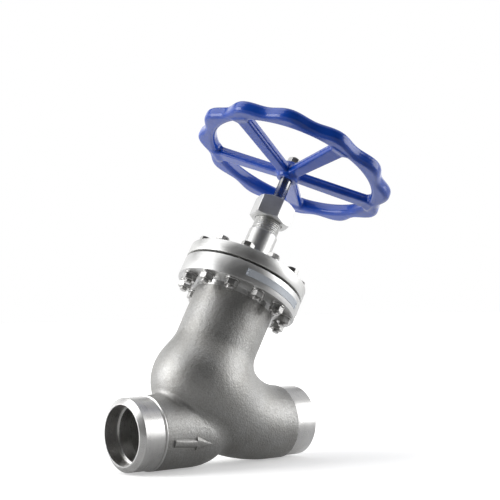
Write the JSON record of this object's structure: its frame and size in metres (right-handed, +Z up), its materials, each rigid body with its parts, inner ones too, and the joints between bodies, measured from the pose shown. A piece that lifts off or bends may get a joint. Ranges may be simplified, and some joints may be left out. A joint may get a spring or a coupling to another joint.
{
  "type": "globe valve",
  "caption": "Inclined-bonnet globe valve with butt-weld ends, a bolted bonnet, a hex gland nut and a rising handwheel that lifts the disc off its seat.",
  "frame": {"origin": "centre of the inlet weld face, on the pipe axis", "axes": "+X along the pipe axis in the direction of flow, +Z up; the bonnet axis leans 60 degrees from +X in the XZ plane; +Y completes the frame"},
  "size_m": [0.3386, 0.2262, 0.3886],
  "materials": {
    "cast_steel": "shot-blasted cast stainless steel, matte, fine grain",
    "machined_steel": "machined stainless steel with fine turning marks",
    "fastener_steel": "stainless fasteners, semi-bright",
    "stem_steel": "ground and polished stainless steel",
    "bronze": "machined bronze",
    "graphite": "compressed graphite",
    "seal_plastic": "white PTFE",
    "wiper_rubber": "black rubber",
    "blue_paint": "glossy blue paint on a casting",
    "plate_metal": "plain plate in one neutral colour"
  },
  "bodies": {
    "valve_body": {"body_casting": "cast_steel", "seat_ring": "machined_steel", "bonnet": "machined_steel", "bonnet_gasket": "graphite", "bonnet_bolts": "fastener_steel", "bonnet_nuts": "fastener_steel", "bolt_head_washers": "fastener_steel", "bolt_nut_washers": "fastener_steel", "stem_bush": "bronze", "packing_base_ring": "machined_steel", "packing_rings": "graphite", "gland_follower": "machined_steel", "gland_nut": "machined_steel", "stem_wiper": "wiper_rubber", "nameplate": "plate_metal", "nameplate_rivets": "fastener_steel"},
    "disc_group": {"disc": "machined_steel", "disc_nut": "fastener_steel", "disc_seal_ring": "seal_plastic", "seal_retainer": "machined_steel", "retainer_screw": "fastener_steel", "thrust_pad": "stem_steel"},
    "spindle": {"stem": "stem_steel", "handwheel": "blue_paint", "handwheel_washer": "fastener_steel", "handwheel_nut": "fastener_steel"}
  },
  "joints": [
    {"name": "stem_lift", "type": "slide", "parent": "valve_body", "child": "disc_group", "axis": [0.5, 0, 0.866], "range_m": [0, 0.018]},
    {"name": "handwheel_turn", "type": "hinge", "parent": "disc_group", "child": "spindle", "pos_m": [0.2353, 0, 0.28232], "axis": [0.5, 0, 0.866], "range_deg": [0, 2160]}
  ],
  "couplings": [
    {"joint": "stem_lift", "follows": "handwheel_turn", "m_per_rad": 0.00047746}
  ]
}
